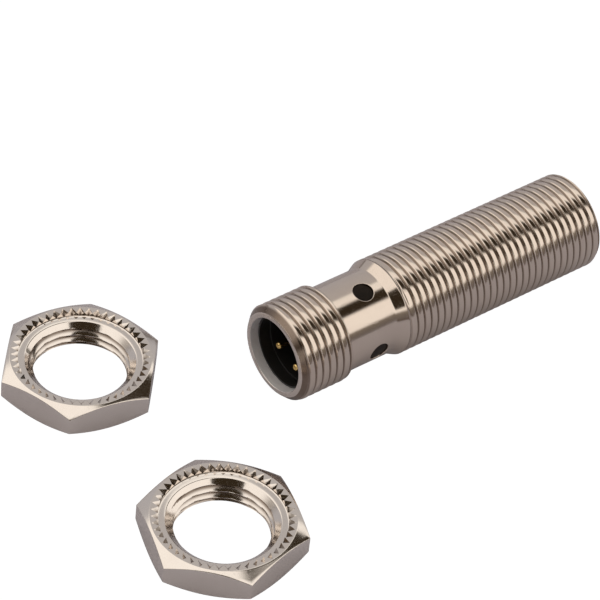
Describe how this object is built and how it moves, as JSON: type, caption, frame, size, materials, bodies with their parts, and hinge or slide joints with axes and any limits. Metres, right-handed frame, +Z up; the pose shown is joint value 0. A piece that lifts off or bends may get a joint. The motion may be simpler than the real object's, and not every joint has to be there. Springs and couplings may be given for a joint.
{
  "type": "inductive proximity sensor",
  "caption": "Cylindrical inductive proximity sensor with a fine metric thread, light windows in its neck, a round plug-in connector and loose serrated mounting nuts.",
  "frame": {"origin": "centre of the sensing face", "axes": "+X out of the sensing face along the barrel, +Z up as the sensor lies on a surface"},
  "size_m": [0.0731, 0.048, 0.012],
  "materials": {
    "nickel_plated_brass": "nickel-plated, turned, bright satin",
    "cap_plastic": "moulded, smooth",
    "shield_brass": "bare brass",
    "ferrite": "sintered, matt",
    "bobbin_plastic": "moulded",
    "copper_wire": "enamelled copper wire",
    "board_laminate": "green solder mask",
    "chip_package": "moulded epoxy",
    "diode_glass": "glass body",
    "capacitor_ceramic": "ceramic",
    "led_resin": "clear yellow resin",
    "light_guide_plastic": "translucent",
    "lens_plastic": "smoky translucent",
    "solder": "solder",
    "insert_plastic": "glass-filled, black",
    "seal_rubber": "smooth rubber",
    "pin_gold": "gold-plated",
    "potting_resin": "cast epoxy"
  },
  "bodies": {
    "sensor": {"housing": "nickel_plated_brass", "sensing_cap": "cap_plastic", "shield_ring": "shield_brass", "ferrite_core": "ferrite", "coil_bobbin": "bobbin_plastic", "sensing_coil": "copper_wire", "coil_leads": "copper_wire", "circuit_board": "board_laminate", "sensor_chip": "chip_package", "voltage_regulator": "chip_package", "output_transistor": "chip_package", "protection_diode": "diode_glass", "chip_capacitors": "capacitor_ceramic", "chip_resistors": "chip_package", "status_leds": "led_resin", "light_guide": "light_guide_plastic", "window_lenses": "lens_plastic", "tail_board": "board_laminate", "solder_joints": "solder", "connector_insert": "insert_plastic", "insert_seal": "seal_rubber", "contact_pin_1": "pin_gold", "contact_pin_3": "pin_gold", "contact_pin_4": "pin_gold", "potting_compound": "potting_resin"},
    "mounting_nut_1": {"mounting_nut_1": "nickel_plated_brass"},
    "mounting_nut_2": {"mounting_nut_2": "nickel_plated_brass"}
  },
  "joints": [
    {"name": "nut_1_lift", "type": "slide", "parent": "sensor", "child": "mounting_nut_1", "axis": [0, 0, 1], "range_m": [0, 0.03]},
    {"name": "nut_2_lift", "type": "slide", "parent": "sensor", "child": "mounting_nut_2", "axis": [0, 0, 1], "range_m": [0, 0.03]}
  ]
}
